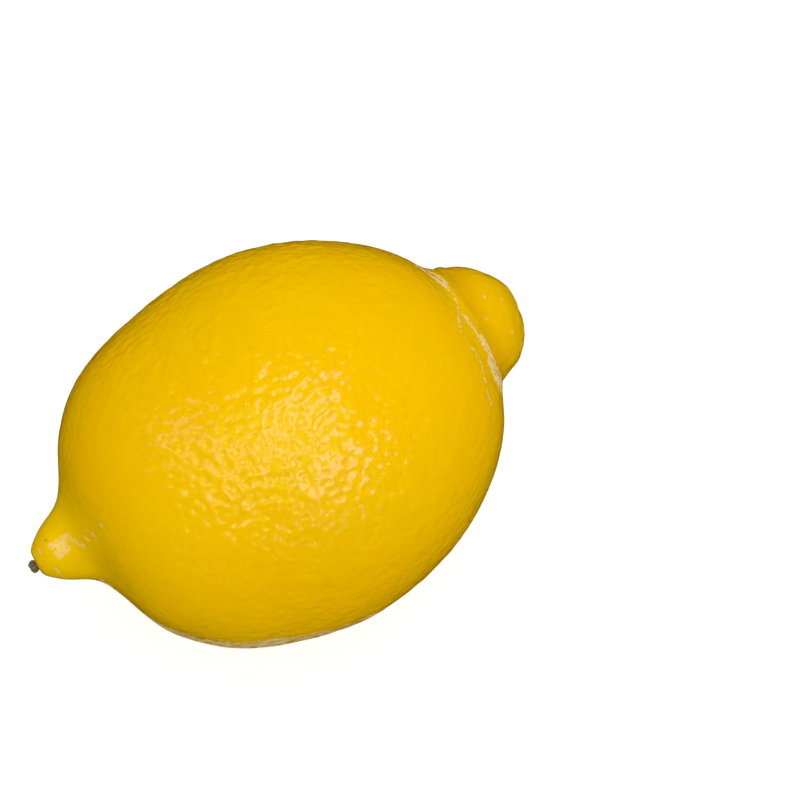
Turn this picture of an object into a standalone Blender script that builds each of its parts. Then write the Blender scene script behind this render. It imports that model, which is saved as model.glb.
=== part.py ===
"""A whole lemon lying on its side, modelled at its real size.

The fruit is turned from one outline, as on a lathe, and then made uneven in the way
that a grown fruit is: both ends lean off the axis, and the body swells and flattens
here and there. It rests on a small flat spot. A dried stub of the flower's style
sits in a shallow seat on the tip of the nipple.

Units: the outlines are in millimetres and the finished model is in metres, +Z up.
"Along" is measured on the fruit's long axis, from its middle towards the stem end,
and becomes +X. "Around" is an angle about that axis, from +Y towards +Z.
"""

import math

import bpy
import numpy as np
from mathutils import Matrix, Vector

MM = 0.001

# The fruit from the nipple's tip to the furrow in front of the collar: (along, radius).
BODY_OUTLINE = (
    (-43.6, 0.0),
    (-44.2, 1.5),
    (-43.0, 3.3),
    (-40.8, 4.9),
    (-37.4, 6.8),
    (-34.9, 10.4),
    (-32.0, 16.8),
    (-26.0, 23.3),
    (-14.0, 28.4),
    (0.5, 31.0),
    (14.0, 28.7),
    (24.5, 23.0),
    (30.5, 17.3),
    (34.6, 11.0),
)

# The collar at the stem end, from the pit of the stem scar to the furrow.
COLLAR_OUTLINE = (
    (43.2, 0.0),
    (43.6, 1.7),
    (43.6, 3.0),
    (42.5, 5.5),
    (40.3, 8.1),
    (37.6, 9.7),
    (34.6, 11.0),
)

# The dried stub, from its crown to its foot in the nipple's seat.
STYLE_OUTLINE = (
    (-45.5, 0.0),
    (-45.3, 0.75),
    (-44.9, 1.15),
    (-44.45, 0.95),
    (-44.1, 0.6),
)

# Both ends lean towards +Y: how far, and over which stretch of the axis.
# The dried stub leans a little less than the nipple that it sits on.
NIPPLE_LEAN = 1.4
STYLE_LEAN = 1.1
NIPPLE_LEAN_FROM, NIPPLE_LEAN_TO = -30.0, -36.5
COLLAR_LEAN = 2.3
COLLAR_LEAN_FROM, COLLAR_LEAN_TO = 32.0, 36.0

# Soft swells (+) and flats (-) of the body and the collar:
# along, around, height, spread.
SWELLS = (
    (-28.0, 0.0, 0.2, 5.0),
    (-17.0, 0.0, 0.3, 7.0),
    (0.0, 0.0, -0.5, 9.0),
    (17.0, 0.0, -0.3, 7.0),
    (28.0, 0.0, 0.5, 5.0),
    (-29.0, 180.0, -0.6, 4.5),
    (-18.0, 180.0, 0.4, 7.0),
    (-3.0, 180.0, 0.5, 8.0),
    (20.0, 180.0, 0.15, 7.0),
    (-14.0, 75.0, 0.2, 8.0),
    (12.0, 105.0, -0.2, 8.0),
    (-20.0, 300.0, 0.4, 8.0),
    (18.0, 245.0, 0.4, 8.0),
    (8.0, 310.0, -0.4, 8.0),
    (-12.0, 225.0, -0.3, 8.0),
    (36.0, 0.0, 0.5, 2.0),
    (41.2, 15.0, -0.3, 2.2),
    (40.5, 185.0, 0.35, 2.2),
    (39.0, 100.0, 0.2, 3.0),
    (38.5, 250.0, 0.3, 3.0),
)

REST_CUT = 0.4          # height of the cap that the flat spot takes off
RING_STEP = 2.0         # distance between the rings of the turned mesh
AROUND_STEPS = 60       # points in one ring
STUB_RING_STEP = 0.35
STUB_AROUND_STEPS = 20
FINE_STEPS = 2000       # samples of a smooth outline before it is spaced evenly
POLE_RADIUS = 0.1       # nearer the axis than this, a swell no longer divides by less
MERGE_DISTANCE = 0.01 * MM

RIND_YELLOW = (0.86, 0.48, 0.004, 1.0)
DRIED_BROWN = (0.10, 0.07, 0.042, 1.0)


def remove_everything():
    """Start from an empty scene."""
    for thing in list(bpy.data.objects):
        bpy.data.objects.remove(thing, do_unlink=True)


def new_collection(name):
    """A named collection in the scene."""
    collection = bpy.data.collections.new(name)
    bpy.context.scene.collection.children.link(collection)
    return collection


def plain_material(name, colour, roughness):
    """A Principled material with one colour."""
    material = bpy.data.materials.new(name)
    material.use_nodes = True
    shader = material.node_tree.nodes["Principled BSDF"]
    shader.inputs["Base Color"].default_value = colour
    shader.inputs["Roughness"].default_value = roughness
    shader.inputs["Metallic"].default_value = 0.0
    material.diffuse_color = colour
    return material


def smooth_outline(points, step):
    """Draw a fair curve from a pole through the points, spaced about one step apart.

    The points are mirrored in the axis first, so the curve crosses the axis squarely
    and the turned form has no spike at its pole. The curve is a cubic spline.
    """
    outer = np.array(points)
    knots = np.vstack([outer[:0:-1] * (1.0, -1.0), outer])
    spans = np.hypot(*np.diff(knots, axis=0).T)
    places = np.concatenate([[0.0], np.cumsum(spans)])

    equations = np.eye(len(knots))
    bends = np.zeros((len(knots), 2))
    for i in range(1, len(knots) - 1):
        before, after = spans[i - 1], spans[i]
        equations[i, i - 1:i + 2] = before, 2.0 * (before + after), after
        rise_after = (knots[i + 1] - knots[i]) / after
        rise_before = (knots[i] - knots[i - 1]) / before
        bends[i] = 6.0 * (rise_after - rise_before)
    bends = np.linalg.solve(equations, bends)

    fine = np.linspace(places[len(outer) - 1], places[-1], FINE_STEPS)
    left = np.clip(np.searchsorted(places, fine) - 1, 0, len(knots) - 2)
    span = spans[left]
    towards = ((fine - places[left]) / span)[:, None]
    away = 1.0 - towards
    curve = away * knots[left] + towards * knots[left + 1]
    curve += (away ** 3 - away) * bends[left] * (span ** 2 / 6.0)[:, None]
    curve += (towards ** 3 - towards) * bends[left + 1] * (span ** 2 / 6.0)[:, None]

    lengths = np.concatenate([[0.0], np.cumsum(np.hypot(*np.diff(curve, axis=0).T))])
    count = max(3, round(lengths[-1] / step) + 1)
    even = np.linspace(0.0, lengths[-1], count)
    spaced = [np.interp(even, lengths, curve[:, axis]) for axis in (0, 1)]
    return np.column_stack(spaced)


def turned_object(name, outline, around_steps, collection):
    """Turn an outline of (along, radius) pairs into a closed solid lying along X.

    The outline stands upright at +X with the stem end on top, the Screw modifier turns
    it about Z, and the finished mesh is then laid down with its top towards +X.
    """
    points = [(radius * MM, 0.0, along * MM) for along, radius in outline]
    edges = [(i, i + 1) for i in range(len(points) - 1)]
    profile_mesh = bpy.data.meshes.new(name + "_profile")
    profile_mesh.from_pydata(points, edges, [])
    profile = bpy.data.objects.new(name + "_profile", profile_mesh)
    collection.objects.link(profile)

    screw = profile.modifiers.new("turn", "SCREW")
    screw.axis = "Z"
    screw.steps = around_steps
    screw.render_steps = around_steps
    screw.use_merge_vertices = True
    screw.merge_threshold = MERGE_DISTANCE
    bpy.context.view_layer.update()

    turned = profile.evaluated_get(bpy.context.evaluated_depsgraph_get())
    mesh = bpy.data.meshes.new_from_object(turned)
    mesh.name = name
    bpy.data.objects.remove(profile, do_unlink=True)
    mesh.transform(Matrix.Rotation(math.pi / 2.0, 4, "Y"))
    mesh.shade_smooth()

    solid = bpy.data.objects.new(name, mesh)
    collection.objects.link(solid)
    return solid


def eased(value, start, end):
    """0 before start, 1 after end, and a smooth S between them."""
    t = min(max((value - start) / (end - start), 0.0), 1.0)
    return t * t * (3.0 - 2.0 * t)


def lean_at(along):
    """How far the fruit's middle line lies towards +Y, in millimetres."""
    nipple = NIPPLE_LEAN * eased(along, NIPPLE_LEAN_FROM, NIPPLE_LEAN_TO)
    collar = COLLAR_LEAN * eased(along, COLLAR_LEAN_FROM, COLLAR_LEAN_TO)
    return nipple + collar


def swell_sites(outline):
    """Where each swell is centred on the turned surface, with its height and spread."""
    order = np.argsort(outline[:, 0])
    sites = []
    for along, around, height, spread in SWELLS:
        radius = np.interp(along, outline[order, 0], outline[order, 1])
        angle = math.radians(around)
        centre = Vector((along, radius * math.cos(angle), radius * math.sin(angle)))
        sites.append((centre, height, spread))
    return sites


def grow_uneven(solid, sites):
    """Move each point outwards by the swells near it, then lean it off the axis."""
    for vertex in solid.data.vertices:
        point = vertex.co / MM
        swell = 0.0
        for centre, height, spread in sites:
            distance = (point - centre).length
            swell += height * math.exp(-0.5 * (distance / spread) ** 2)
        radius = max(math.hypot(point.y, point.z), POLE_RADIUS)
        growth = 1.0 + swell / radius
        point.y = point.y * growth + lean_at(point.x)
        point.z *= growth
        vertex.co = point * MM


def corners(objects):
    """Lowest and highest corner of the objects' meshes, which all sit at the origin."""
    points = [v.co for thing in objects for v in thing.data.vertices]
    low = Vector(min(p[axis] for p in points) for axis in range(3))
    high = Vector(max(p[axis] for p in points) for axis in range(3))
    return low, high


def lay_on_flat_spot(fruit, pieces, cutters):
    """Centre the lemon over the origin with its flat spot at height zero, and cut it."""
    low, high = corners(pieces)
    middle = (low + high) / 2.0
    floor = low.z + REST_CUT * MM
    for piece in pieces:
        piece.data.transform(Matrix.Translation((-middle.x, -middle.y, -floor)))

    width = high.x - low.x
    bpy.ops.mesh.primitive_cube_add(size=1.0, location=(0.0, 0.0, -width / 2.0))
    cutter = bpy.context.object
    cutter.name = "flat_spot_cutter"
    cutter.dimensions = (width, width, width)
    cutter.display_type = "WIRE"
    cutter.hide_render = True
    for collection in list(cutter.users_collection):
        collection.objects.unlink(cutter)
    cutters.objects.link(cutter)

    cut = fruit.modifiers.new("flat_spot", "BOOLEAN")
    cut.operation = "DIFFERENCE"
    cut.solver = "EXACT"
    cut.object = cutter


def make_fruit(collection):
    """The one solid of the whole fruit: body, nipple and collar."""
    body = smooth_outline(BODY_OUTLINE, RING_STEP)
    collar = smooth_outline(COLLAR_OUTLINE, RING_STEP)
    outline = np.vstack([collar, body[-2::-1]])
    fruit = turned_object("fruit", outline, AROUND_STEPS, collection)
    grow_uneven(fruit, swell_sites(outline))
    fruit.data.materials.append(plain_material("rind", RIND_YELLOW, 0.4))
    return fruit


def make_style_tip(collection):
    """The dried stub, a small knob with a narrow foot."""
    crown = smooth_outline(STYLE_OUTLINE, STUB_RING_STEP)
    foot = (STYLE_OUTLINE[-1][0], 0.0)
    outline = np.vstack([[foot], crown[::-1]])
    stub = turned_object("dried_style_tip", outline, STUB_AROUND_STEPS, collection)
    stub.data.transform(Matrix.Translation((0.0, STYLE_LEAN * MM, 0.0)))
    stub.data.materials.append(plain_material("dried_style", DRIED_BROWN, 0.85))
    return stub


def main():
    remove_everything()
    lemon = new_collection("lemon")
    cutters = new_collection("lemon_cutters")
    fruit = make_fruit(lemon)
    style_tip = make_style_tip(lemon)
    lay_on_flat_spot(fruit, [fruit, style_tip], cutters)


main()
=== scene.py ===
# %% [markdown]
# # A whole lemon, from its solid model to its skin
#
# A ripe lemon lies on its side. Its rind is a thin waxy skin over thousands of oil glands,
# and each gland leaves a small pit. One end narrows to a nipple that still carries the dried
# stub of the flower's style, and the other swells into a broad collar behind a furrow.
#
# The solid model gives the true size and place. This lesson grows the fine surface around it:
# first the form, then the furrow, the pits and the scars as real geometry, then the finishes.

import math

import bmesh
import bpy
import numpy as np
from mathutils import Matrix, Vector, kdtree, noise


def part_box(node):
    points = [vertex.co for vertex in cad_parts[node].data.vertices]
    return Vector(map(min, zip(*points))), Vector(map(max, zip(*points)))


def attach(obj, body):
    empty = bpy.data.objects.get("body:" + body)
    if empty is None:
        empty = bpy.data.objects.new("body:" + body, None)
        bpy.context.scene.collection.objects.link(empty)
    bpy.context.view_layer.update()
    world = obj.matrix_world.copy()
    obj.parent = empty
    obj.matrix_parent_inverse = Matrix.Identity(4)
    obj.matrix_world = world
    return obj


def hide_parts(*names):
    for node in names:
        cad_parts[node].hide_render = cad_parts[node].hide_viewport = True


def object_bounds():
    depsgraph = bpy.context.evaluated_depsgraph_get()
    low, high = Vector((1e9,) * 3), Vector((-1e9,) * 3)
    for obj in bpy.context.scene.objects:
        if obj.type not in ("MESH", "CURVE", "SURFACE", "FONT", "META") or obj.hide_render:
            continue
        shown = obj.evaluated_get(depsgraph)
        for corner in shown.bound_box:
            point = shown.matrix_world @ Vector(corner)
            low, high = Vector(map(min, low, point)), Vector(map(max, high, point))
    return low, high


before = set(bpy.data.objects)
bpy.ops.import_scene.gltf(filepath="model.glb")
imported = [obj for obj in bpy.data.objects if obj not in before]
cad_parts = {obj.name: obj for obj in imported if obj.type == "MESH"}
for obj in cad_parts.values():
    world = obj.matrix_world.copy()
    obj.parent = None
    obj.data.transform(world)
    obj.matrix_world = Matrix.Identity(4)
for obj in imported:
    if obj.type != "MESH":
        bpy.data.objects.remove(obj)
cad_low, cad_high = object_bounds()
MM = 0.001
print("solid model, mm:", [round(side / MM, 1) for side in cad_high - cad_low])

# %% [markdown]
# ## The camera
#
# The camera looks down on the fruit from a high tripod with a long lens, so there is little
# perspective, and it is turned so that the fruit lies across the picture from low left to high
# right. It is placed from the middle of the solid: a direction back to the tripod, a distance,
# and a small step to the side that leaves room on the right.

# %% Place the camera
VIEW_AZIMUTH, VIEW_ELEVATION = math.radians(-28.85), math.radians(76.0)
TRIPOD_DISTANCE = 357.0 * MM
AIM_RIGHT, AIM_UP = 19.0 * MM, 7.3 * MM
LENS = 100.0

middle = (cad_low + cad_high) / 2.0
view_back = Vector((
    math.sin(VIEW_AZIMUTH) * math.cos(VIEW_ELEVATION),
    -math.cos(VIEW_AZIMUTH) * math.cos(VIEW_ELEVATION),
    math.sin(VIEW_ELEVATION),
))
view_right = Vector((math.cos(VIEW_AZIMUTH), math.sin(VIEW_AZIMUTH), 0.0))
view_up = view_back.cross(view_right)

aim = middle + view_right * AIM_RIGHT + view_up * AIM_UP
camera = bpy.data.objects.new("camera", bpy.data.cameras.new("camera"))
camera.data.lens = LENS
camera.data.clip_start = 0.01
facing = Matrix((view_right, view_up, view_back)).transposed()
camera.matrix_world = Matrix.Translation(aim + view_back * TRIPOD_DISTANCE) @ facing.to_4x4()
bpy.context.scene.collection.objects.link(camera)
bpy.context.scene.camera = camera
print("camera at, mm:", [round(c / MM) for c in camera.matrix_world.translation])

# %% [markdown]
# ## The outline of the fruit
#
# Cut in half along its axis, the fruit shows one outline: a shallow seat for the stub, the
# nipple, the long full body, and the collar with the pit of the stem scar. A handful of points
# (distance along the axis, radius) says all of it. They are the dimensions that the solid was
# turned from. A cubic spline through them bends evenly, and because the points are mirrored in
# the axis first, the curve crosses the axis squarely and leaves no spike at either pole.

# %% Draw the outline
BODY_OUTLINE = (
    (-43.6, 0.0), (-44.2, 1.5), (-43.0, 3.3), (-40.8, 4.9), (-37.4, 6.8), (-34.9, 10.4),
    (-32.0, 16.8), (-26.0, 23.3), (-14.0, 28.4), (0.5, 31.0), (14.0, 28.7), (24.5, 23.0),
    (30.5, 17.3), (34.6, 11.0),
)
COLLAR_OUTLINE = (
    (43.2, 0.0), (43.6, 1.7), (43.6, 3.0), (42.5, 5.5), (40.3, 8.1), (37.6, 9.7), (34.6, 11.0),
)
OUTLINE_SAMPLES = 2000


def smooth_outline(points):
    """A cubic spline from a pole (radius 0) through the points, finely sampled."""
    outer = np.array(points)
    knots = np.vstack([outer[:0:-1] * (1.0, -1.0), outer])
    spans = np.hypot(*np.diff(knots, axis=0).T)
    places = np.concatenate([[0.0], np.cumsum(spans)])
    equations = np.eye(len(knots))
    bends = np.zeros((len(knots), 2))
    for i in range(1, len(knots) - 1):
        before, after = spans[i - 1], spans[i]
        equations[i, i - 1:i + 2] = before, 2.0 * (before + after), after
        rise_after = (knots[i + 1] - knots[i]) / after
        rise_before = (knots[i] - knots[i - 1]) / before
        bends[i] = 6.0 * (rise_after - rise_before)
    bends = np.linalg.solve(equations, bends)

    at = np.linspace(places[len(outer) - 1], places[-1], OUTLINE_SAMPLES)
    left = np.clip(np.searchsorted(places, at) - 1, 0, len(knots) - 2)
    span = spans[left]
    towards = ((at - places[left]) / span)[:, None]
    away = 1.0 - towards
    curve = away * knots[left] + towards * knots[left + 1]
    curve += (away ** 3 - away) * bends[left] * (span ** 2 / 6.0)[:, None]
    curve += (towards ** 3 - towards) * bends[left + 1] * (span ** 2 / 6.0)[:, None]
    return curve


collar_outline = smooth_outline(COLLAR_OUTLINE)
body_outline = smooth_outline(BODY_OUTLINE)[::-1]
outline = np.vstack([collar_outline, body_outline[1:]])
outline_steps = np.hypot(*np.diff(outline, axis=0).T)
outline_length = np.concatenate([[0.0], np.cumsum(outline_steps)])
FURROW_AT = outline_length[OUTLINE_SAMPLES - 1]
print(f"outline {outline_length[-1]:.1f} mm long, furrow {FURROW_AT:.1f} mm from the stem scar")

# %% [markdown]
# ## A skin of even squares
#
# A lathe mesh crowds its points at the two poles and starves the middle. Pits need even points
# everywhere, so the skin starts as a cube with a fine grid on each side, blown up to a ball.
# The ball is then laid over the fruit so that equal areas stay equal: a point's height on the
# ball's axis says what share of the fruit's skin lies beyond it. The furrow and the nipple ask
# for finer squares, so their skin counts for more in that share.

# %% Blow up a cube and lay it over the outline
GRID_CUTS = 127
FINER_PLACES = (
    # along, reach, how much more the skin counts there
    (35.0, 3.0, 1.6), (-39.0, 4.0, 0.8),
)


def ball_grid(cuts):
    """A cube's mesh with a grid of squares on each side, and its points on the unit ball."""
    grid = bmesh.new()
    bmesh.ops.create_cube(grid, size=2.0)
    bmesh.ops.subdivide_edges(grid, edges=grid.edges[:], cuts=cuts, use_grid_fill=True)
    mesh = bpy.data.meshes.new("grid")
    grid.to_mesh(mesh)
    grid.free()
    points = np.empty(len(mesh.vertices) * 3)
    mesh.vertices.foreach_get("co", points)
    points = np.tan(points.reshape(-1, 3) * math.pi / 4.0)
    return mesh, points / np.linalg.norm(points, axis=1, keepdims=True)


skin_mesh, ball = ball_grid(GRID_CUTS)
skin_mesh.name = "pitted_rind"

middle_radius = (outline[1:, 1] + outline[:-1, 1]) / 2.0
weight = np.ones(len(middle_radius))
for place, reach, extra in FINER_PLACES:
    weight += extra * np.exp(-((outline[1:, 0] - place) / reach) ** 2)
band_area = middle_radius * outline_steps * weight
share = np.concatenate([[0.0], np.cumsum(band_area)]) / band_area.sum()

skin_length = np.interp((1.0 - ball[:, 0]) / 2.0, share, outline_length)
skin_along = np.interp(skin_length, outline_length, outline[:, 0])
skin_radius = np.interp(skin_length, outline_length, outline[:, 1])
side = ball[:, 1:] / np.maximum(np.linalg.norm(ball[:, 1:], axis=1, keepdims=True), 1e-9)
skin = np.column_stack([skin_along, side * skin_radius[:, None]])
print(len(skin), "points,", len(skin_mesh.polygons), "squares")

# %% [markdown]
# ## Grown, not turned
#
# No lemon is round. Here and there the body swells a little or stays flat, and both ends lean
# off the axis. Each swell is a soft hill on the skin: how far along, how far around, how high
# and how wide. They are the solid's own, and the last four are small ones that it leaves out:
# two lumps on the nipple and a fuller flank. Then the form is set into the box of the packed
# solid, so that it can't drift from the model that carries it.

# %% Swell, lean and set in place
SWELLS = (
    # along, around in degrees from +Y over the top, height, spread
    (-28.0, 0.0, 0.2, 5.0), (-17.0, 0.0, 0.3, 7.0), (0.0, 0.0, -0.5, 9.0),
    (17.0, 0.0, -0.3, 7.0), (28.0, 0.0, 0.5, 5.0), (-29.0, 180.0, -0.6, 4.5),
    (-18.0, 180.0, 0.4, 7.0), (-3.0, 180.0, 0.5, 8.0), (20.0, 180.0, 0.15, 7.0),
    (-14.0, 75.0, 0.2, 8.0), (12.0, 105.0, -0.2, 8.0), (-20.0, 300.0, 0.4, 8.0),
    (18.0, 245.0, 0.4, 8.0), (8.0, 310.0, -0.4, 8.0), (-12.0, 225.0, -0.3, 8.0),
    (36.0, 0.0, 0.5, 2.0), (41.2, 15.0, -0.3, 2.2), (40.5, 185.0, 0.35, 2.2),
    (39.0, 100.0, 0.2, 3.0), (38.5, 250.0, 0.3, 3.0), (-41.3, 95.0, 0.95, 2.1),
    (-35.5, 97.0, 0.8, 2.4), (-17.0, 193.0, 0.45, 7.0), (-6.0, 195.0, 0.40, 7.0),
)
NIPPLE_LEAN, NIPPLE_LEAN_FROM, NIPPLE_LEAN_TO = 1.4, -30.0, -36.5
COLLAR_LEAN, COLLAR_LEAN_FROM, COLLAR_LEAN_TO = 2.3, 32.0, 36.0
POLE_RADIUS = 0.1


def eased(value, start, end):
    """0 before start, 1 after end, and a smooth S between them."""
    t = np.clip((value - start) / (end - start), 0.0, 1.0)
    return t * t * (3.0 - 2.0 * t)


def place_on_fruit(along, around):
    """A point of the turned form, before it swells and leans."""
    order = np.argsort(outline[:, 0])
    radius = np.interp(along, outline[order, 0], outline[order, 1])
    angle = math.radians(around)
    return np.array([along, radius * math.cos(angle), radius * math.sin(angle)])


turned = skin.copy()
swell = np.zeros(len(skin))
for along, around, height, spread in SWELLS:
    distance = np.linalg.norm(turned - place_on_fruit(along, around), axis=1)
    swell += height * np.exp(-0.5 * (distance / spread) ** 2)
skin[:, 1:] *= (1.0 + swell / np.maximum(skin_radius, POLE_RADIUS))[:, None]
skin[:, 1] += NIPPLE_LEAN * eased(skin[:, 0], NIPPLE_LEAN_FROM, NIPPLE_LEAN_TO)
skin[:, 1] += COLLAR_LEAN * eased(skin[:, 0], COLLAR_LEAN_FROM, COLLAR_LEAN_TO)

box_low, box_high = (np.array(corner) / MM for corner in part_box("fruit"))
stretch = (box_high - box_low)[:2] / np.ptp(skin, axis=0)[:2]
scale = np.array([stretch[0], stretch[1], stretch[1]])
shift = box_high - skin.max(axis=0) * scale
skin = skin * scale + shift
print("stretch to fit the solid's box:", np.round(scale, 4))

# %% [markdown]
# ## Relief
#
# Relief is added along the skin's own normals, in millimetres, so it has the same strength on
# the steep shoulder and on the broad back. `lift` moves the skin and works out the normals
# afresh each time, because pits belong on the swollen surface and not on the turned one.

# %% A helper that lifts the skin


def normals_of(points):
    """The mesh's smooth normals with its points in these places."""
    skin_mesh.vertices.foreach_set("co", (points * MM).ravel())
    skin_mesh.update()
    normals = np.empty(len(points) * 3)
    skin_mesh.vertex_normals.foreach_get("vector", normals)
    return normals.reshape(-1, 3)


def lift(points, height):
    """The points moved along their normals by height."""
    return points + normals_of(points) * height[:, None]


def drift(points, wavelength, seed):
    """Smooth noise from about -1 to 1 that changes over the wavelength."""
    offset = Vector((seed * 17.0, seed * 31.0, seed * 7.0))
    scaled = points / wavelength
    return np.array([noise.noise(Vector(p) + offset) for p in scaled.tolist()])


def hill(distance, width):
    """A soft hill, 1 in its middle."""
    return np.exp(-(distance / width) ** 2)


# %% [markdown]
# ## Waves under the wax
#
# The skin waves gently at several scales at once. The finest wave, a millimetre and a half
# long, does most of the work: it tilts the skin just enough to break the shine into glints.
# One noise would look even, so four are added, each with its own height. They are calmer on the
# flanks and towards the ends, so that the rim looks smooth, and nearly still on the nipple and
# on the collar, which has broad dents instead. Faint ribs around the nipple's base follow the
# segments below.

# %% Raise the waves, dents and ribs
WAVES = (
    # wavelength, height, seed
    (14.0, 0.16, 1), (5.0, 0.10, 2), (2.4, 0.06, 3), (1.45, 0.155, 8),
)
COLLAR_DENTS = ((4.5, 0.24, 4), (1.6, 0.17, 9))
COLLAR_FROM, COLLAR_TO = 34.8, 36.5
NIPPLE_FROM, NIPPLE_TO = -32.0, -38.0
CALMER_COLLAR, CALMER_NIPPLE = 0.75, 0.8
CALMER_FLANKS, UPWARD = 0.55, math.radians(95.0)
CALMER_SHOULDERS, SHOULDER_FROM, SHOULDER_TO = 0.55, 12.0, 29.0
CALMER_NECKS = (
    # along, reach, how much calmer
    (-33.0, 6.0, 0.6), (33.0, 3.0, 0.5),
)
RIBS, RIB_HEIGHT, RIB_SWAY = 9, 0.04, 1.5
RIBS_AT, RIBS_REACH = -31.0, 7.0

around = np.arctan2(turned[:, 2], turned[:, 1])
on_top = np.cos(around - UPWARD)
on_collar = eased(skin_along, COLLAR_FROM, COLLAR_TO)
on_nipple = eased(skin_along, NIPPLE_FROM, NIPPLE_TO)
flanks = 1.0 - CALMER_FLANKS * eased(-on_top, -0.8, 0.0)
shoulders = 1.0 - CALMER_SHOULDERS * eased(np.abs(skin_along), SHOULDER_FROM, SHOULDER_TO)
necks = 1.0 - sum(extra * hill(skin_along - at, reach) for at, reach, extra in CALMER_NECKS)
calm = (1.0 - CALMER_COLLAR * on_collar - CALMER_NIPPLE * on_nipple) * flanks * shoulders * necks

relief = calm * sum(height * drift(skin, wavelength, seed) for wavelength, height, seed in WAVES)
for wavelength, height, seed in COLLAR_DENTS:
    relief += on_collar * height * drift(skin, wavelength, seed)
near_nipple = hill(skin_along - RIBS_AT, RIBS_REACH)
relief += near_nipple * RIB_HEIGHT * np.cos(RIBS * around + RIB_SWAY * drift(skin, 20.0, 5))
print(f"waves from {relief.min():.2f} to {relief.max():.2f} mm")

# %% [markdown]
# ## The furrow and the stem scar
#
# The growing collar presses a furrow into the shoulder. The outline gives it as a sharp corner,
# so a low ridge first rounds its bottom. Over the top of the fruit the skin also rolls up into
# a lip on the body's side and sinks into a hollow on the collar's side. All three follow the
# same slow wander, because nothing that grew is straight. At the far end the stalk left a small
# dry disc ringed by the stubs of its vessels.

# %% Round the furrow, roll its lip and mark the stem scar
FURROW_ROUNDING, FURROW_WIDTH = 0.34, 0.9
FURROW_WANDER = 0.2
LIP_HEIGHT, LIP_WIDTH = 0.45, 1.6
HOLLOW_DEPTH, HOLLOW_WIDTH = 0.35, 1.9
LIP_AWAY = 1.4
SCAR_RADIUS, SCAR_EDGE, SCAR_ROUGHNESS = 2.0, 0.3, 0.08
VESSELS, VESSEL_RING_RADIUS, VESSEL_WIDTH, VESSEL_HEIGHT = 9, 1.3, 0.25, 0.12
FAR_AWAY = 40.0

from_furrow = skin_length - FURROW_AT
wander = FURROW_WANDER * drift(turned, 9.0, 6)
upper_side = eased(on_top, 0.0, 0.8)
relief += FURROW_ROUNDING * hill(from_furrow + wander, FURROW_WIDTH)
relief += LIP_HEIGHT * hill(from_furrow - LIP_AWAY + wander, LIP_WIDTH) * upper_side
hollow = hill(from_furrow + LIP_AWAY + wander, HOLLOW_WIDTH)
relief -= HOLLOW_DEPTH * hollow * upper_side

from_stem = np.where(skin_along > 0.0, np.hypot(turned[:, 1], turned[:, 2]), FAR_AWAY)
scar_disc = eased(-from_stem, -SCAR_RADIUS - SCAR_EDGE, -SCAR_RADIUS + SCAR_EDGE)
vessel_ring = hill(from_stem - VESSEL_RING_RADIUS, VESSEL_WIDTH)
vessel_ring *= 0.5 + 0.5 * np.cos(VESSELS * around)
relief += scar_disc * (VESSEL_HEIGHT * vessel_ring + SCAR_ROUGHNESS * drift(skin, 0.9, 7))

smooth_normals = normals_of(skin)
skin = lift(skin, relief)
tilt = np.degrees(np.arccos(np.clip((normals_of(skin) * smooth_normals).sum(axis=1), -1.0, 1.0)))
print(f"relief from {relief.min():.2f} to {relief.max():.2f} mm")
print(f"it tilts the skin by {tilt.mean():.1f} degrees on average")

# %% [markdown]
# ## Pits
#
# Every oil gland sits under a pit about a millimetre wide. Glands crowd until they touch, so no
# two pits are closer than a set spacing: points are tried in a random order, and one is kept
# only where no kept one is near. Each pit gets its own width and depth, and is fainter on the
# flanks and towards the ends, as the waves are.
#
# The mesh holds only the soft dip around a pit. The sharp bottom comes later from the finish,
# which has to know where the pit is. So each square of the skin takes its nearest pit, and keeps
# at each corner the arrow to it. An arrow changes evenly over a square, so the finish can draw
# the pit's rim far finer than the mesh.

# %% Scatter the pits and press them in
PIT_SPACING = 1.42
PIT_REACH = (0.42, 0.71)
PIT_DEPTH = (0.06, 0.21)
FAINTER_ON_COLLAR, FAINTER_ON_NIPPLE = 0.85, 0.9
DIP_REACH, DIP_WIDTH = 1.5, 0.95
pit_random = np.random.RandomState(11)


def scattered(points, spacing, order):
    """Indexes of points in the given order, none nearer than spacing to another."""
    cells = np.floor(points / spacing).astype(int)
    around_cell = [(i, j, k) for i in (-1, 0, 1) for j in (-1, 0, 1) for k in (-1, 0, 1)]
    kept, taken = [], {}
    for index in order:
        point, cell = points[index], cells[index]
        rivals = []
        for step in around_cell:
            rivals += taken.get((cell[0] + step[0], cell[1] + step[1], cell[2] + step[2]), [])
        if all(((points[rival] - point) ** 2).sum() >= spacing ** 2 for rival in rivals):
            kept.append(index)
            taken.setdefault(tuple(cell), []).append(index)
    return np.array(kept)


pits = scattered(skin, PIT_SPACING, pit_random.permutation(len(skin)))
pit_places = skin[pits]
pit_reach = pit_random.uniform(*PIT_REACH, len(pits))
pit_depth = pit_random.uniform(*PIT_DEPTH, len(pits))
away_from_ends = 1.0 - FAINTER_ON_COLLAR * on_collar - FAINTER_ON_NIPPLE * on_nipple
pit_depth *= (away_from_ends * (1.0 - scar_disc) * flanks * shoulders)[pits]

pit_tree = kdtree.KDTree(len(pits))
for number, place in enumerate(pit_places):
    pit_tree.insert(place, number)
pit_tree.balance()


def nearest_pit(points):
    """The number of the pit nearest to each point."""
    return np.array([pit_tree.find(point)[1] for point in points])


def dimpled(points):
    """How deep the soft dips around all the pits are at each point."""
    depth = np.zeros(len(points))
    for number, point in enumerate(points):
        for _, pit, distance in pit_tree.find_range(point, DIP_REACH):
            width = DIP_WIDTH * pit_reach[pit]
            depth[number] += pit_depth[pit] * math.exp(-(distance / width) ** 2)
    return depth


pitted = lift(skin, -dimpled(skin))

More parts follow.
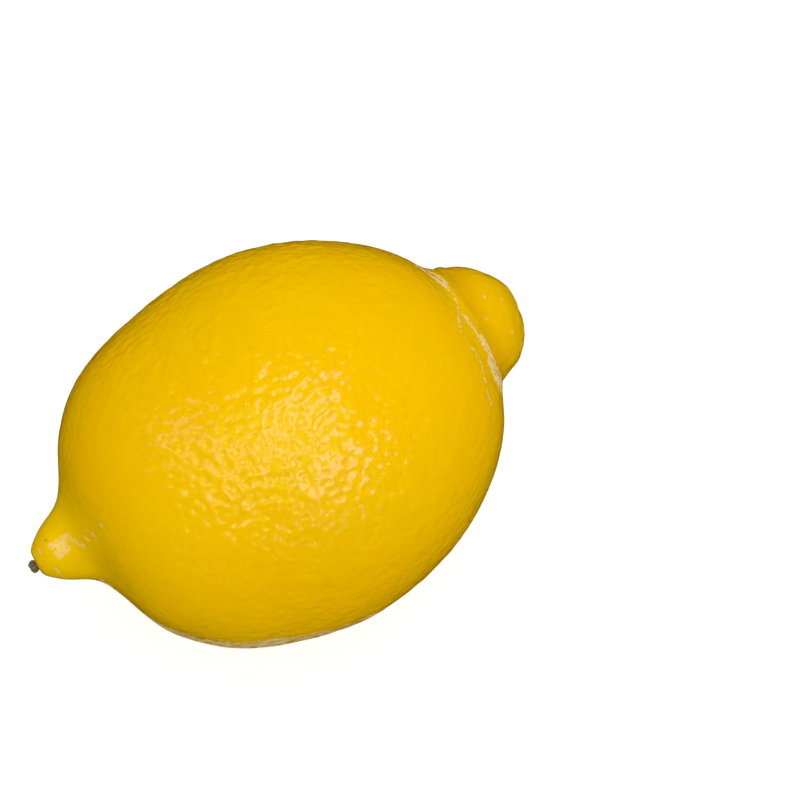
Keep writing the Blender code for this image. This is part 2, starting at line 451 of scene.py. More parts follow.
corners = np.empty(len(skin_mesh.loops), dtype=int)
skin_mesh.loops.foreach_get("vertex_index", corners)
squares = corners.reshape(-1, 4)
pit_of_square = nearest_pit(skin[squares].mean(axis=1))
pit_of_corner = np.repeat(pit_of_square, 4)
to_pit = pit_places[pit_of_corner] - skin[corners]
skin = pitted
print(len(pits), "pits, the deepest", round(pit_depth.max(), 2), "mm")

# %% [markdown]
# ## Back inside the solid's box, and the flat spot
#
# The relief has pushed a few points a little way out of the solid's box, so the whole skin is
# drawn in by that little. A fruit that lies on a table flattens where it touches: the solid has
# a flat there, level with the table, and the skin is pressed to the same level.

# %% Draw the skin in and press the flat spot
box_middle, box_half = (box_high + box_low) / 2.0, (box_high - box_low) / 2.0
reach = np.maximum(skin.max(axis=0) - box_middle, box_middle - skin.min(axis=0))
reach[2] = skin[:, 2].max() - box_middle[2]
drawn_in = np.minimum(1.0, box_half / reach)
skin = box_middle + (skin - box_middle) * drawn_in
resting = skin[:, 2] < box_low[2]
skin[resting, 2] = box_low[2]
print("drawn in by, mm:", np.round((1.0 - drawn_in) * box_half, 2))
print(int(resting.sum()), "points rest on the table")

# %% [markdown]
# ## Where the scars and small marks lie
#
# Insects feeding under the young calyx, and the collar rubbing on the shoulder, leave a broken
# ring of pale cork around the furrow. A streak of thin cork, called scurf, lies low on one
# flank. There are small things too: beige flecks on the collar and the nipple, a painted
# highlight of pale peach on the top of the nipple, two dark specks, and a brown foot around the stub.
#
# Each mark is a stroke over the skin, as with a brush: a half width, then the places it passes
# through. The skin keeps how far each point lies outside the nearest stroke's edge. A distance
# changes evenly from point to point, so the finish can cut a line from it that is finer than
# the mesh.

# %% List the strokes
RING_SCARS = (
    # half width, then (along, around) through the shoulder
    (0.42, ((31.1, 22.0), (31.4, 40.0), (32.4, 49.0), (33.1, 60.0))),
    (0.34, ((31.7, 28.0), (32.8, 40.0), (33.5, 52.0), (33.4, 62.0))),
    (0.14, ((33.2, 62.0), (33.4, 72.0), (33.1, 79.0), (31.9, 88.0), (31.1, 96.0))),
    (0.26, ((33.0, 86.0), (33.4, 96.0), (33.5, 106.0))),
    (0.90, ((33.7, 110.0), (34.0, 121.0), (34.2, 134.0), (34.3, 148.0), (34.5, 163.0))),
    (0.70, ((33.3, 124.0), (33.2, 136.0), (33.6, 150.0))),
    (0.50, ((34.6, 163.0), (34.0, 178.0), (34.2, 190.0))),
    (0.18, ((31.5, 107.0), (31.8, 115.0), (31.3, 122.0), (30.6, 129.0), (30.2, 138.0))),
    (0.45, ((34.0, 205.0), (33.4, 232.0), (33.0, 262.0))),
    (0.16, ((31.6, 282.0), (32.2, 305.0), (31.5, 330.0))),
)
FLECKS = (
    # half width, then one short stroke: on the collar, then about the tip of the nipple
    (0.17, ((40.8, 92.0), (41.1, 94.0))),
    (0.15, ((38.5, 83.0), (38.3, 86.0))),
    (0.15, ((39.4, 106.0), (39.2, 110.0))),
    (0.16, ((39.8, 131.0), (39.4, 137.0))),
    (0.16, ((37.8, 145.0), (37.7, 151.0))),
    (0.20, ((42.3, 38.0), (42.8, 46.0))),
    (0.22, ((43.0, 58.0), (43.4, 66.0))),
    (0.18, ((42.0, 200.0), (41.2, 214.0))),
    (0.26, ((-42.7, 78.0), (-42.7, 90.0))),
    (0.26, ((-41.8, 131.0), (-41.6, 145.0))),
    (0.24, ((-41.6, 158.0), (-41.2, 169.0))),
)
NIPPLE_HIGHLIGHT = (
    # a painted highlight: pale peach strokes along the top of the nipple, where a glint would be
    (0.42, ((-40.7, 90.0), (-39.9, 96.0), (-39.3, 95.0))),
    (0.62, ((-40.2, 107.0), (-39.4, 105.0), (-38.6, 105.0))),
    (0.45, ((-39.5, 101.0), (-38.6, 92.0), (-37.7, 90.0))),
    (0.26, ((-37.3, 98.0), (-36.8, 102.0))),
    (0.32, ((-36.6, 107.0), (-36.1, 111.0))),
    (0.20, ((-35.3, 102.0), (-34.9, 105.0))),
    (0.20, ((-34.2, 100.0), (-33.6, 103.0))),
    (0.22, ((-32.1, 98.0), (-31.7, 99.0))),
)
SPECKS = (
    # dark green specks beside it
    (0.07, ((-41.1, 75.0), (-40.8, 78.5))),
    (0.05, ((-38.0, 101.0), (-37.9, 102.0))),
)
FLANK_SCARS = (
    # a scurfy streak low on one flank, widest in its middle
    (1.2, ((-35.5, 179.5), (-32.0, 180.5))),
    (2.4, ((-32.0, 180.5), (-29.0, 181.5))),
    (3.2, ((-29.0, 181.5), (-24.0, 182.0))),
    (2.8, ((-24.0, 182.0), (-17.0, 180.5))),
    (1.9, ((-17.0, 180.5), (-10.0, 181.5))),
    (0.8, ((-10.0, 181.5), (-1.0, 183.0))),
    (0.5, ((-20.0, 188.5), (-13.0, 190.5))),
)
print(len(RING_SCARS + FLANK_SCARS), "strokes of cork,", len(FLECKS + NIPPLE_HIGHLIGHT + SPECKS), "small marks")

# %% [markdown]
# ## Distances to the strokes
#
# A stroke is a chain of straight runs. For each run, a point's distance is measured to the
# nearest place on it, and the shortest of these counts, less the half width. It is negative
# inside the stroke. The distances are taken on the turned form, where the strokes were laid out.

# %% Measure from each point to the nearest stroke


def from_stroke(half_width, places):
    """How far each point of the turned skin lies outside a stroke's edge."""
    path = [place_on_fruit(*place) for place in places]
    closest = np.full(len(turned), FAR_AWAY)
    for start, end in zip(path, path[1:]):
        run = end - start
        part = np.clip((turned - start) @ run / (run @ run), 0.0, 1.0)
        away = np.linalg.norm(turned - start - part[:, None] * run, axis=1)
        closest = np.minimum(closest, away)
    return closest - half_width


def from_strokes(strokes):
    """How far each point lies outside the nearest of the strokes."""
    return np.min([from_stroke(*stroke) for stroke in strokes], axis=0)


ring_scar = from_strokes(RING_SCARS)
flank_scar = from_strokes(FLANK_SCARS)
stub_low, stub_high = (np.array(corner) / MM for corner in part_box("dried_style_tip"))
stub_middle = (stub_low + stub_high) / 2.0
from_stub = np.linalg.norm(skin - stub_middle, axis=1)
print(f"cork lies on {100.0 * (np.minimum(ring_scar, flank_scar) < 0.0).mean():.1f} % of the skin")

# %% [markdown]
# ## What the skin remembers
#
# The finish can read numbers that the mesh keeps, called attributes. Numbers that belong to a
# place, such as a distance, go on the points. Those that belong to a square, such as the arrow
# to its pit, go on its corners, because two squares that meet may look to different pits.

# %% Keep the distances, and make the skin a piece
NIPPLE_TONE_FROM, NIPPLE_TONE_TO = -29.0, -37.0


def keep(mesh, name, values, where="POINT"):
    """Store a number or an arrow at each point or corner, for the material to read."""
    kind = "FLOAT" if values.ndim == 1 else "FLOAT_VECTOR"
    key = "value" if values.ndim == 1 else "vector"
    layer = mesh.attributes.new(name, kind, where)
    layer.data.foreach_set(key, values.astype(np.float32).ravel())


skin_mesh.vertices.foreach_set("co", (skin * MM).ravel())
skin_mesh.update()
keep(skin_mesh, "to_pit", to_pit, "CORNER")
keep(skin_mesh, "pit_reach", pit_reach[pit_of_corner], "CORNER")
keep(skin_mesh, "pit_depth", pit_depth[pit_of_corner], "CORNER")
keep(skin_mesh, "ring_scar", ring_scar)
keep(skin_mesh, "flank_scar", flank_scar)
keep(skin_mesh, "fleck", from_strokes(FLECKS))
# the strokes of the painted highlight on the nipple's top
keep(skin_mesh, "painted_highlight", from_strokes(NIPPLE_HIGHLIGHT))
keep(skin_mesh, "speck", from_strokes(SPECKS))
keep(skin_mesh, "from_stub", from_stub)
keep(skin_mesh, "hollow", hollow)
keep(skin_mesh, "on_collar", on_collar)
keep(skin_mesh, "on_nipple", eased(skin_along, NIPPLE_TONE_FROM, NIPPLE_TONE_TO))
keep(skin_mesh, "stem_scar", scar_disc)
skin_mesh.shade_smooth()

pitted_rind = bpy.data.objects.new("pitted_rind", skin_mesh)
bpy.context.scene.collection.objects.link(pitted_rind)
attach(pitted_rind, "root")
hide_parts("fruit")
print("the skin keeps", len(skin_mesh.attributes), "layers of numbers")

# %% [markdown]
# ## The dried stub
#
# The style of the flower stays on the nipple and dries to a dark knob, creased along its
# length. It is a small ball grid again, made a little boxy, creased with noise that runs
# lengthwise, squeezed into the solid's box, and sunk a little into its seat so that no gap
# shows.

# %% Shape the stub
STUB_CUTS = 31
STUB_SUNK = 0.45
STUB_CREASES = (
    # wavelength, height as a share of the stub's half width, seed
    (0.55, 0.16, 21), (0.22, 0.06, 22),
)
CREASE_STRETCH = 0.35
STUB_BOXINESS, STUB_FILL = 0.85, 0.84

stub_mesh, stub = ball_grid(STUB_CUTS)
stub_mesh.name = "dried_stub"
stub_half = (stub_high - stub_low) / 2.0
knob = np.sign(stub) * np.abs(stub) ** STUB_BOXINESS
creases = sum(
    height * drift(knob * (CREASE_STRETCH, 1.0, 1.0), wavelength, seed)
    for wavelength, height, seed in STUB_CREASES
)
stub = knob * (STUB_FILL + creases)[:, None]
stub_half[0] += STUB_SUNK / 2.0
stub_middle[0] += STUB_SUNK / 2.0
stub = np.clip(stub, -1.0, 1.0) * stub_half + stub_middle
stub_mesh.vertices.foreach_set("co", (stub * MM).ravel())
stub_mesh.update()
stub_mesh.shade_smooth()

dried_stub = bpy.data.objects.new("dried_stub", stub_mesh)
bpy.context.scene.collection.objects.link(dried_stub)
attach(dried_stub, "root")
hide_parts("dried_style_tip")
print("stub, mm:", np.round(np.ptp(stub, axis=0), 2))

# %% [markdown]
# ## Shader groups that both finishes share
#
# Rind and stub both need a drift of colour, a net of pale threads and a fine grain. Each of
# these is a node group with named inputs, built once here and given its own values later.
# A few helpers come first, so that a line of nodes reads like a line of arithmetic.

# %% Helpers for node groups


def new_group(name, inputs, outputs):
    """An empty shader group with these sockets, each (name, kind, value)."""
    group = bpy.data.node_groups.new(name, "ShaderNodeTree")
    for label, kind, value in inputs:
        socket = group.interface.new_socket(label, in_out="INPUT", socket_type="NodeSocket" + kind)
        if value is not None:
            socket.default_value = value
    for label, kind in outputs:
        group.interface.new_socket(label, in_out="OUTPUT", socket_type="NodeSocket" + kind)
    return group, group.nodes.new("NodeGroupInput"), group.nodes.new("NodeGroupOutput")


def add(tree, kind, **settings):
    """A node with its properties set."""
    node = tree.nodes.new("ShaderNode" + kind)
    for key, value in settings.items():
        setattr(node, key, value)
    return node


def feed(tree, socket, source):
    """Give a socket a plain value or a link."""
    if isinstance(source, bpy.types.NodeSocket):
        tree.links.new(source, socket)
    else:
        socket.default_value = source


def maths(tree, operation, *sources):
    """A Math node, and its result."""
    node = add(tree, "Math", operation=operation)
    for socket, source in zip(node.inputs, sources):
        feed(tree, socket, source)
    return node.outputs[0]


def ramped(tree, value, low, high):
    """The value turned to 0 below low and 1 above high, smoothly."""
    node = add(tree, "MapRange", interpolation_type="SMOOTHSTEP")
    feed(tree, node.inputs["Value"], value)
    feed(tree, node.inputs["From Min"], low)
    feed(tree, node.inputs["From Max"], high)
    return node.outputs["Result"]


def noise_at(tree, vector, scale, detail=2.0, roughness=0.5):
    """A noise texture's value, 0 to 1."""
    node = add(tree, "TexNoise")
    feed(tree, node.inputs["Vector"], vector)
    feed(tree, node.inputs["Scale"], scale)
    feed(tree, node.inputs["Detail"], detail)
    feed(tree, node.inputs["Roughness"], roughness)
    return node.outputs["Fac"]


def mixed(tree, factor, first, second):
    """Two colours mixed."""
    node = add(tree, "Mix", data_type="RGBA")
    feed(tree, node.inputs[0], factor)
    feed(tree, node.inputs[6], first)
    feed(tree, node.inputs[7], second)
    return node.outputs[2]


# %% [markdown]
# ## Drift, cork net and grain
#
# *Drift* is a slow change of tone, as ripeness changes over a fruit. *Cork net* turns the
# distance from a scar's edge into threads: noise frays the distance, the sum is cut sharply,
# and small round pores are punched out. Stretching the place makes the threads run one way.
# *Grain* is a fine unevenness, for a bump.

# %% Build the three groups
drift_group, given, made = new_group(
    "drift",
    [("Place", "Vector", None), ("Size", "Float", 10.0), ("Contrast", "Float", 0.3)],
    [("Amount", "Float")],
)
per_size = maths(drift_group, "DIVIDE", 1.0, given.outputs["Size"])
slow = noise_at(drift_group, given.outputs["Place"], per_size, 3.0, 0.55)
low_edge = maths(drift_group, "SUBTRACT", 0.5, given.outputs["Contrast"])
high_edge = maths(drift_group, "ADD", 0.5, given.outputs["Contrast"])
feed(drift_group, made.inputs["Amount"], ramped(drift_group, slow, low_edge, high_edge))

FRAY_GAIN = 4.0
EDGE_SOFTNESS = 0.25
PORE_HOLE, PORE_WALL = 0.18, 0.42

net_group, given, made = new_group(
    "cork_net",
    [("Place", "Vector", None), ("Distance", "Float", 0.0), ("Fray", "Float", 0.5),
     ("Thread Size", "Float", 0.6), ("Pore Size", "Float", 0.8)],
    [("Cork", "Float")],
)
per_thread = maths(net_group, "DIVIDE", 1.0, given.outputs["Thread Size"])
threads = noise_at(net_group, given.outputs["Place"], per_thread, 4.0, 0.65)
either_way = maths(net_group, "SUBTRACT", threads, 0.5)
fraying = maths(net_group, "MULTIPLY", either_way, given.outputs["Fray"])
frayed = maths(net_group, "MULTIPLY_ADD", fraying, FRAY_GAIN, given.outputs["Distance"])
soft_edge = maths(net_group, "MULTIPLY", given.outputs["Fray"], EDGE_SOFTNESS)
bare = ramped(net_group, frayed, maths(net_group, "MULTIPLY", soft_edge, -1.0), soft_edge)
sheet = maths(net_group, "SUBTRACT", 1.0, bare)
pore_cells = add(net_group, "TexVoronoi")
feed(net_group, pore_cells.inputs["Vector"], given.outputs["Place"])
feed(net_group, pore_cells.inputs["Scale"], maths(net_group, "DIVIDE", 1.0, given.outputs["Pore Size"]))
walls = ramped(net_group, pore_cells.outputs["Distance"], PORE_HOLE, PORE_WALL)
feed(net_group, made.inputs["Cork"], maths(net_group, "MULTIPLY", sheet, walls))

grain_group, given, made = new_group(
    "grain",
    [("Place", "Vector", None), ("Size", "Float", 0.3), ("Height", "Float", 0.01)],
    [("Height", "Float")],
)
per_grain = maths(grain_group, "DIVIDE", 1.0, given.outputs["Size"])
fine = noise_at(grain_group, given.outputs["Place"], per_grain, 1.0, 0.5)
feed(grain_group, made.inputs["Height"], maths(grain_group, "MULTIPLY", fine, given.outputs["Height"]))
print("groups:", [group.name for group in bpy.data.node_groups])

# %% [markdown]
# ## Helpers for a finish
#
# Both finishes place groups, read what the mesh keeps, and turn a height into a bump. All
# lengths in them are in millimetres, because the place is scaled up once at the start.

# %% Helpers for a finish


def in_group(tree, group, **inputs):
    """A placed node group with its inputs fed."""
    node = add(tree, "Group", node_tree=group)
    for label, source in inputs.items():
        feed(tree, node.inputs[label.replace("_", " ")], source)
    return node


def read_points(tree, name, output="Fac"):
    """What the mesh keeps on its points or corners under this name."""
    return add(tree, "Attribute", attribute_name=name).outputs[output]


def new_finish(name):
    """A material, its tree, its Principled shader, and the place in millimetres."""
    material = bpy.data.materials.new(name)
    material.use_nodes = True
    tree = material.node_tree
    place = add(tree, "VectorMath", operation="SCALE")
    feed(tree, place.inputs[0], add(tree, "TexCoord").outputs["Object"])
    place.inputs["Scale"].default_value = 1.0 / MM
    return material, tree, tree.nodes["Principled BSDF"], place.outputs[0]


def laid_over(tree, colour, mask, strength, coat):
    """A colour with a coat of another over it, where the mask is 1 and at this strength."""
    return mixed(tree, maths(tree, "MULTIPLY", mask, strength), colour, coat)


def stretched(tree, place, factors):
    """The place with its axes scaled."""
    node = add(tree, "VectorMath", operation="MULTIPLY")
    feed(tree, node.inputs[0], place)
    feed(tree, node.inputs[1], factors)
    return node.outputs[0]


def bumped(tree, height):
    """A normal from a height in millimetres."""
    node = add(tree, "Bump")
    node.inputs["Distance"].default_value = MM
    feed(tree, node.inputs["Height"], height)
    return node.outputs["Normal"]


# %% [markdown]
# ## The rind's yellows
#
# Lemon rind is a saturated warm yellow. It isn't one yellow: it drifts between a fuller and a
# greener one over a centimetre or two, and is a shade duller on the collar and brighter on the
# nipple. A deeper yellow is painted into the hollow by the furrow as shade. The yellows have no
# blue in them, so any blue seen on them comes from what the wax reflects.

# %% Mix the yellows
FULL_YELLOW = (0.915, 0.470, 0.0, 1.0)
GREEN_YELLOW = (0.885, 0.482, 0.0, 1.0)
COLLAR_YELLOW = (0.84, 0.445, 0.0, 1.0)
NIPPLE_YELLOW = (0.93, 0.535, 0.0, 1.0)
# Painted shade: a deeper yellow for the hollow beside the furrow.
FURROW_SHADE_YELLOW = (0.70, 0.35, 0.0, 1.0)
FURROW_SHADE_STRENGTH = 0.8

rind, tree, shader, place = new_finish("rind")
ripeness = in_group(tree, drift_group, Place=place, Size=16.0, Contrast=0.22).outputs["Amount"]
colour = mixed(tree, ripeness, FULL_YELLOW, GREEN_YELLOW)
colour = mixed(tree, read_points(tree, "on_collar"), colour, COLLAR_YELLOW)
colour = mixed(tree, read_points(tree, "on_nipple"), colour, NIPPLE_YELLOW)
# Painted shade: the hollow beside the furrow is darkened with a deeper yellow.
colour = laid_over(tree, colour, read_points(tree, "hollow"), FURROW_SHADE_STRENGTH, FURROW_SHADE_YELLOW)
print("rind, yellows:", len(tree.nodes), "nodes")

# %% [markdown]
# ## The bottoms of the pits
#
# The length of the arrow, as a share of the pit's reach, is 0 in the middle of a pit and 1 at
# its rim. A little noise makes the rims less than round. Squared twice, it gives a bowl with a
# soft rim, which serves twice: for the bump, and for a faint painted shade, a darker yellow, at
# the bottom.

# %% Draw the pits
# Painted shade: a slightly darker yellow at the bottom of each pit.
PIT_SHADE_YELLOW = (0.84, 0.45, 0.0, 1.0)
PIT_SHADE_STRENGTH = 0.06
PIT_BOTTOM = 0.45
RIM_WOBBLE, RIM_LEAST = 0.7, 0.65

arrow = add(tree, "VectorMath", operation="LENGTH")
feed(tree, arrow.inputs[0], read_points(tree, "to_pit", "Vector"))
wobble = maths(tree, "MULTIPLY_ADD", noise_at(tree, place, 1.6, 1.0), RIM_WOBBLE, RIM_LEAST)
reach = maths(tree, "DIVIDE", arrow.outputs["Value"], read_points(tree, "pit_reach"))
reach = maths(tree, "MINIMUM", maths(tree, "MULTIPLY", reach, wobble), 1.0)
bowl = maths(tree, "SUBTRACT", 1.0, maths(tree, "POWER", reach, 2.0))
pit_shape = maths(tree, "POWER", bowl, 2.0)
# The pits' bottoms are darkened a little, as painted shade.
pit_bottom_shade = ramped(tree, pit_shape, PIT_BOTTOM, 1.0)
colour = laid_over(tree, colour, pit_bottom_shade, PIT_SHADE_STRENGTH, PIT_SHADE_YELLOW)
print("rind, pits:", len(tree.nodes), "nodes")

# %% [markdown]
# ## Cork and scurf
#
# Old cork around the furrow is a tight, pale net, biscuit brown in places. The scurf on the
# flank is thinner and broader, with frayed edges and larger gaps that let the yellow through.
# Its net is drawn out along the fruit by halving the place along that axis.

# %% Lay the cork
CORK_PALE = (0.97, 0.70, 0.36, 1.0)
CORK_BROWN = (0.74, 0.45, 0.12, 1.0)
CORK_BROWNING = 0.8
SCURF_PALE = (0.96, 0.75, 0.40, 1.0)
SCURF_BROWN = (0.50, 0.34, 0.12, 1.0)
SCURF_STRENGTH = 0.85
SCURF_STRETCH = (0.5, 1.0, 1.0)

ring_net = in_group(
    tree, net_group, Place=place, Distance=read_points(tree, "ring_scar"),
    Fray=0.5, Thread_Size=0.5, Pore_Size=1.1,
).outputs["Cork"]
ring_tone = in_group(tree, drift_group, Place=place, Size=0.7, Contrast=0.2).outputs["Amount"]
ring_colour = laid_over(tree, CORK_PALE, ring_tone, CORK_BROWNING, CORK_BROWN)
colour = mixed(tree, ring_net, colour, ring_colour)

streaky = stretched(tree, place, SCURF_STRETCH)
flank_net = in_group(
    tree, net_group, Place=streaky, Distance=read_points(tree, "flank_scar"),
    Fray=2.6, Thread_Size=1.0, Pore_Size=1.9,
).outputs["Cork"]
scurf_tone = in_group(tree, drift_group, Place=streaky, Size=0.8, Contrast=0.2).outputs["Amount"]
scurf_colour = mixed(tree, scurf_tone, SCURF_PALE, SCURF_BROWN)
colour = laid_over(tree, colour, flank_net, SCURF_STRENGTH, scurf_colour)
cork = maths(tree, "MAXIMUM", ring_net, flank_net)
print("rind, cork:", len(tree.nodes), "nodes")

# %% [markdown]
# ## Small marks
#
# The flecks and the painted highlight on the nipple use the same net, with little fraying, so
# they stay small; the highlight is pale peach laid over the yellow where a glint would be. The
# specks are plain dots with a soft edge. The brown foot spreads around the stub and fades over
# a couple of millimetres, with an edge that noise makes uneven. The stem scar is dry and tan.

# %% Dot in the small marks
FLECK_BEIGE, FLECK_STRENGTH = (0.86, 0.58, 0.22, 1.0), 0.8
# Painted highlight: pale peach on the top of the nipple, standing in for a glint.
HIGHLIGHT_PEACH, HIGHLIGHT_STRENGTH = (0.95, 0.60, 0.20, 1.0), 0.85
SPECK_GREEN, SPECK_STRENGTH = (0.28, 0.24, 0.03, 1.0), 0.7
SPECK_SOFTNESS = 0.25
FOOT_BROWN, FOOT_STRENGTH = (0.30, 0.12, 0.04, 1.0), 0.85
FOOT_FULL, FOOT_GONE, FOOT_UNEVENNESS = 1.9, 3.6, 0.6
SCAR_TAN = (0.42, 0.27, 0.11, 1.0)

fleck_net = in_group(
    tree, net_group, Place=place, Distance=read_points(tree, "fleck"),
    Fray=0.12, Thread_Size=0.3, Pore_Size=0.7,
).outputs["Cork"]
colour = laid_over(tree, colour, fleck_net, FLECK_STRENGTH, FLECK_BEIGE)
# Painted highlight on the nipple: its strokes laid over the yellow in pale peach.
highlight_net = in_group(
    tree, net_group, Place=place, Distance=read_points(tree, "painted_highlight"),
    Fray=0.5, Thread_Size=0.5, Pore_Size=0.8,
).outputs["Cork"]
colour = laid_over(tree, colour, highlight_net, HIGHLIGHT_STRENGTH, HIGHLIGHT_PEACH)
off_speck = ramped(tree, read_points(tree, "speck"), 0.0, SPECK_SOFTNESS)
speck = maths(tree, "SUBTRACT", 1.0, off_speck)
colour = laid_over(tree, colour, speck, SPECK_STRENGTH, SPECK_GREEN)
uneven = noise_at(tree, place, 1.0)
foot_edge = maths(tree, "MULTIPLY_ADD", uneven, FOOT_UNEVENNESS, read_points(tree, "from_stub"))
foot = maths(tree, "SUBTRACT", 1.0, ramped(tree, foot_edge, FOOT_FULL, FOOT_GONE))
colour = laid_over(tree, colour, foot, FOOT_STRENGTH, FOOT_BROWN)
colour = mixed(tree, read_points(tree, "stem_scar"), colour, SCAR_TAN)
feed(tree, shader.inputs["Base Color"], colour)
print("rind, small marks:", len(tree.nodes), "nodes")

# %% [markdown]
# ## Wax, and the light under it
#
# Wax is glossy, and cork is dull: the roughness is low, drifts a little, and rises on the cork.
# The bump adds what the mesh is too coarse for: the pits' sharp bottoms, a fine ripple, and the
# edge of the cork. Light also enters the rind, wanders some millimetres and comes back yellow.
# That is subsurface scattering. It smooths the shading of the pits, as it does on a real lemon,
# so that they show mainly in the glints.

# %% Wax the rind
GLOSSIEST, GLOSS_DRIFT, CORK_DULLNESS = 0.11, 0.04, 0.4
PIT_BUMP = 0.3
CORK_HEIGHT = 0.05
SCATTER_REACH = 7.0 * MM

gloss = in_group(tree, drift_group, Place=place, Size=3.0, Contrast=0.3).outputs["Amount"]
waxy = maths(tree, "MULTIPLY_ADD", gloss, GLOSS_DRIFT, GLOSSIEST)
roughness = maths(tree, "ADD", waxy, maths(tree, "MULTIPLY", cork, CORK_DULLNESS))
feed(tree, shader.inputs["Roughness"], roughness)

pit_drop = maths(tree, "MULTIPLY", read_points(tree, "pit_depth"), -PIT_BUMP)
pit_height = maths(tree, "MULTIPLY", pit_shape, pit_drop)
ripple = in_group(tree, grain_group, Place=place, Size=1.3, Height=0.07).outputs["Height"]
height = maths(tree, "ADD", pit_height, ripple)
height = maths(tree, "ADD", height, maths(tree, "MULTIPLY", cork, CORK_HEIGHT))
feed(tree, shader.inputs["Normal"], bumped(tree, height))

shader.inputs["IOR"].default_value = 1.45
shader.subsurface_method = "BURLEY"
shader.inputs["Subsurface Weight"].default_value = 1.0
shader.inputs["Subsurface Radius"].default_value = (1.0, 0.8, 0.1)
shader.inputs["Subsurface Scale"].default_value = SCATTER_REACH
pitted_rind.data.materials.append(rind)
print("rind, finished:", len(tree.nodes), "nodes")

# %% [markdown]
# ## The dried stub's finish
#
# Dead style tissue is grey brown and dull, nearly black in its cracks, with a net of paler
# fibres over the crown and a redder tone at its foot.

# %% Mix the stub
STUB_DARK = (0.035, 0.024, 0.016, 1.0)
STUB_GREY = (0.105, 0.082, 0.060, 1.0)
STUB_FIBRE = (0.30, 0.25, 0.19, 1.0)
STUB_FOOT = (0.26, 0.10, 0.035, 1.0)
FIBRE_STRENGTH, STUB_FOOT_STRENGTH = 0.8, 0.8
STUB_FOOT_HEIGHT = 0.53
STUB_FOOT_FADE = 0.3

dried_style, tree, shader, place = new_finish("dried_style")
patch = in_group(tree, drift_group, Place=place, Size=0.45, Contrast=0.16).outputs["Amount"]
colour = mixed(tree, patch, STUB_DARK, STUB_GREY)
fibres = in_group(
    tree, net_group, Place=place, Distance=0.0, Fray=0.3, Thread_Size=0.35, Pore_Size=0.4,
).outputs["Cork"]
colour = laid_over(tree, colour, fibres, FIBRE_STRENGTH, STUB_FIBRE)
along_stub = add(tree, "SeparateXYZ")
feed(tree, along_stub.inputs["Vector"], place)
foot_top = stub_high[0] - STUB_FOOT_HEIGHT
at_foot = ramped(
    tree, along_stub.outputs["X"], foot_top - STUB_FOOT_FADE, foot_top + STUB_FOOT_FADE,
)
colour = laid_over(tree, colour, at_foot, STUB_FOOT_STRENGTH, STUB_FOOT)
feed(tree, shader.inputs["Base Color"], colour)
shader.inputs["Roughness"].default_value = 0.8
grain = in_group(tree, grain_group, Place=place, Size=0.16, Height=0.09).outputs["Height"]
feed(tree, shader.inputs["Normal"], bumped(tree, grain))
dried_stub.data.materials.append(dried_style)
print("stub, finished:", len(tree.nodes), "nodes")

# %% [markdown]
# ## The table
#
# A plain white table fills the picture. It glows a little, but only where the camera sees it
# directly, so it looks white without throwing more light up under the fruit. It is kept out of
# mirror reflections too, so that the rim of the fruit stays yellow. It lies a hair below the
# flat spot, because two faces at the same level show through each other in patches.

# %% Lay the table
TABLE_SIZE = 3.0
TABLE_DROP = 0.05 * MM
TABLE_GREY = (0.45, 0.45, 0.45, 1.0)
TABLE_GLOW = 0.68

table_mesh = bpy.data.meshes.new("table")
table_grid = bmesh.new()
bmesh.ops.create_grid(table_grid, x_segments=1, y_segments=1, size=TABLE_SIZE / 2.0)
table_grid.to_mesh(table_mesh)
table_grid.free()
table = bpy.data.objects.new("table", table_mesh)
table.location.z = cad_low.z - TABLE_DROP
table.visible_glossy = False
bpy.context.scene.collection.objects.link(table)

white, tree, shader, place = new_finish("white_table")
shader.inputs["Base Color"].default_value = TABLE_GREY
shader.inputs["Roughness"].default_value = 0.9
shader.inputs["Specular IOR Level"].default_value = 0.0
shader.inputs["Emission Color"].default_value = (1.0, 1.0, 1.0, 1.0)
seen_directly = add(tree, "LightPath").outputs["Is Camera Ray"]
feed(tree, shader.inputs["Emission Strength"], maths(tree, "MULTIPLY", seen_directly, TABLE_GLOW))
table.data.materials.append(white)
print("table at, mm:", round(table.location.z / MM, 2))

# %% [markdown]
# ## Lamps that only glint
#
# The shine on waxed rind is a loose patch of separate glints, brightest over the middle. One
# big lamp would give one flat sheet of light, so a cluster of small round ones stands around
# the camera. They give no diffuse light and show only as reflections, each on the few waves
# that face it. They are rosy, because a rosy glint and the yellow under it add up to a pale
# peach. Last, one wide, weak, yellow-green sheet lays a faint sheen between the glints.

# %% Hang the lamps
LAMP_DISTANCE = 0.8
GLINT_COLOUR = (1.0, 0.42, 1.0)
SHEEN_COLOUR = (0.35, 1.0, 0.0)
SOFT_BOXES = (
    # name, degrees right of and above the camera's line, half width in degrees, radiance
    ("right_soft_box", 32.5, -9.0, 10.0, 4.7),
    ("low_right_soft_box", 19.0, -22.0, 7.0, 4.6),
    ("top_soft_box", 18.0, 27.0, 8.0, 4.6),
    ("upper_soft_box", 2.0, 16.0, 9.0, 3.8),
    ("centre_soft_box", 4.0, -1.0, 8.0, 2.2),
    ("middle_soft_box", -16.0, -4.0, 7.5, 2.35),
    ("low_left_soft_box", -8.0, -22.0, 6.5, 3.3),
    ("left_soft_box", -30.0, 7.0, 7.0, 2.0),
    ("far_left_soft_box", -44.0, 15.0, 6.0, 2.0),
    ("lowest_soft_box", 20.0, -44.0, 4.5, 2.6),
    ("lowest_right_soft_box", 37.0, -42.0, 4.0, 2.6),
)


def direction(across, upward):
    """An arrow from the fruit, in degrees to the right of and above the camera's line."""
    across, upward = math.radians(across), math.radians(upward)
    return (
        view_right * math.sin(across) * math.cos(upward)
        + view_up * math.sin(upward)
        + view_back * math.cos(across) * math.cos(upward)
    )


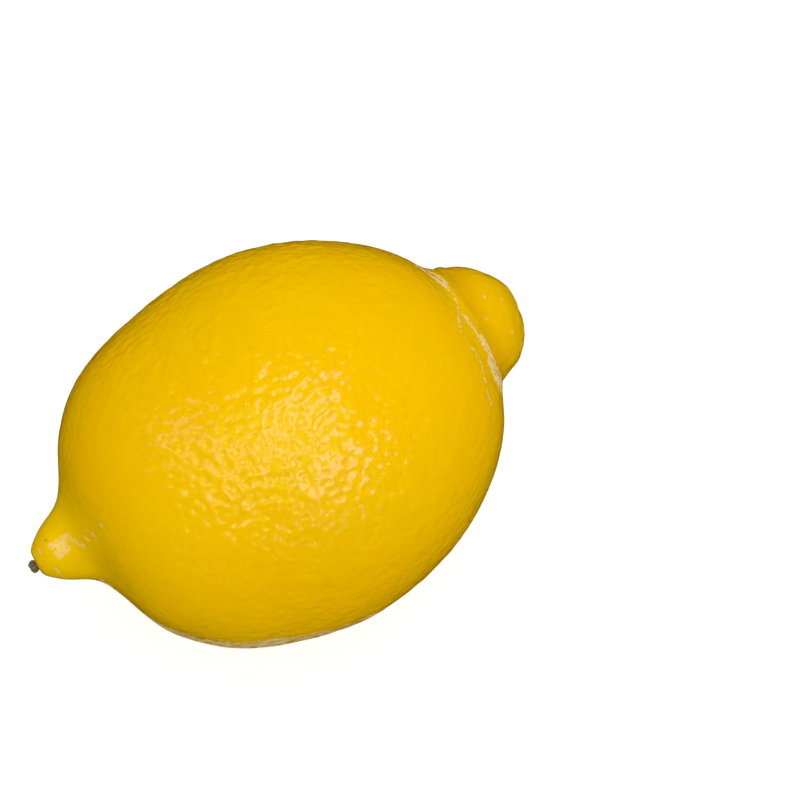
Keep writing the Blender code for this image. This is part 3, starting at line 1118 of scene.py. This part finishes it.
def soft_box(name, across, upward, spread, radiance, colour=GLINT_COLOUR):
    """Hang a round lamp in this direction, this many degrees across its half."""
    towards = direction(across, upward)
    radius = LAMP_DISTANCE * math.tan(math.radians(spread))
    data = bpy.data.lights.new(name, "AREA")
    data.shape = "DISK"
    data.color = colour
    data.size = 2.0 * radius
    data.energy = radiance * math.pi * math.pi * radius ** 2
    lamp = bpy.data.objects.new(name, data)
    lamp.location = middle + towards * LAMP_DISTANCE
    lamp.rotation_euler = towards.to_track_quat("Z", "Y").to_euler()
    lamp.visible_diffuse = False
    bpy.context.scene.collection.objects.link(lamp)


for lamp in SOFT_BOXES:
    soft_box(*lamp)
soft_box("sheen_sheet", 4.0, 0.0, 31.0, 1.5, SHEEN_COLOUR)
print(len(SOFT_BOXES), "glint lamps and a sheet of sheen")

# %% [markdown]
# ## A tent of soft light
#
# The even light comes from all around, as in a tent of pale cloth: bright and a touch green
# near the camera, dim and warm on the far side. It makes the middle of the fruit bright and
# lets the rim fall off with no hard shadow. The tent is hidden from mirror reflections, because
# its glare would veil the yellow. The lamps take that part.

# %% Pitch the tent
TENT_BRIGHTEST = (12.0, 14.0)
TENT_DARK, TENT_BRIGHT, TENT_FALLOFF = 0.07, 1.55, 2.3
TENT_WARM = (1.0, 0.82, 0.65, 1.0)
TENT_COOL = (0.98, 1.09, 1.0, 1.0)

world = bpy.data.worlds.new("studio")
world.use_nodes = True
tree = world.node_tree
towards_light = add(tree, "VectorMath", operation="DOT_PRODUCT")
feed(tree, towards_light.inputs[0], add(tree, "TexCoord").outputs["Generated"])
feed(tree, towards_light.inputs[1], direction(*TENT_BRIGHTEST))
half_lit = maths(tree, "MULTIPLY_ADD", towards_light.outputs["Value"], 0.5, 0.5)
falling_off = maths(tree, "POWER", half_lit, TENT_FALLOFF)
glow = maths(tree, "MULTIPLY_ADD", falling_off, TENT_BRIGHT, TENT_DARK)
feed(tree, tree.nodes["Background"].inputs["Strength"], glow)
tent_colour = mixed(tree, half_lit, TENT_WARM, TENT_COOL)
feed(tree, tree.nodes["Background"].inputs["Color"], tent_colour)
world.cycles_visibility.glossy = False
bpy.context.scene.world = world
bpy.context.scene.view_settings.view_transform = "Standard"
print("tent brightness:", TENT_DARK, "to", TENT_DARK + TENT_BRIGHT)
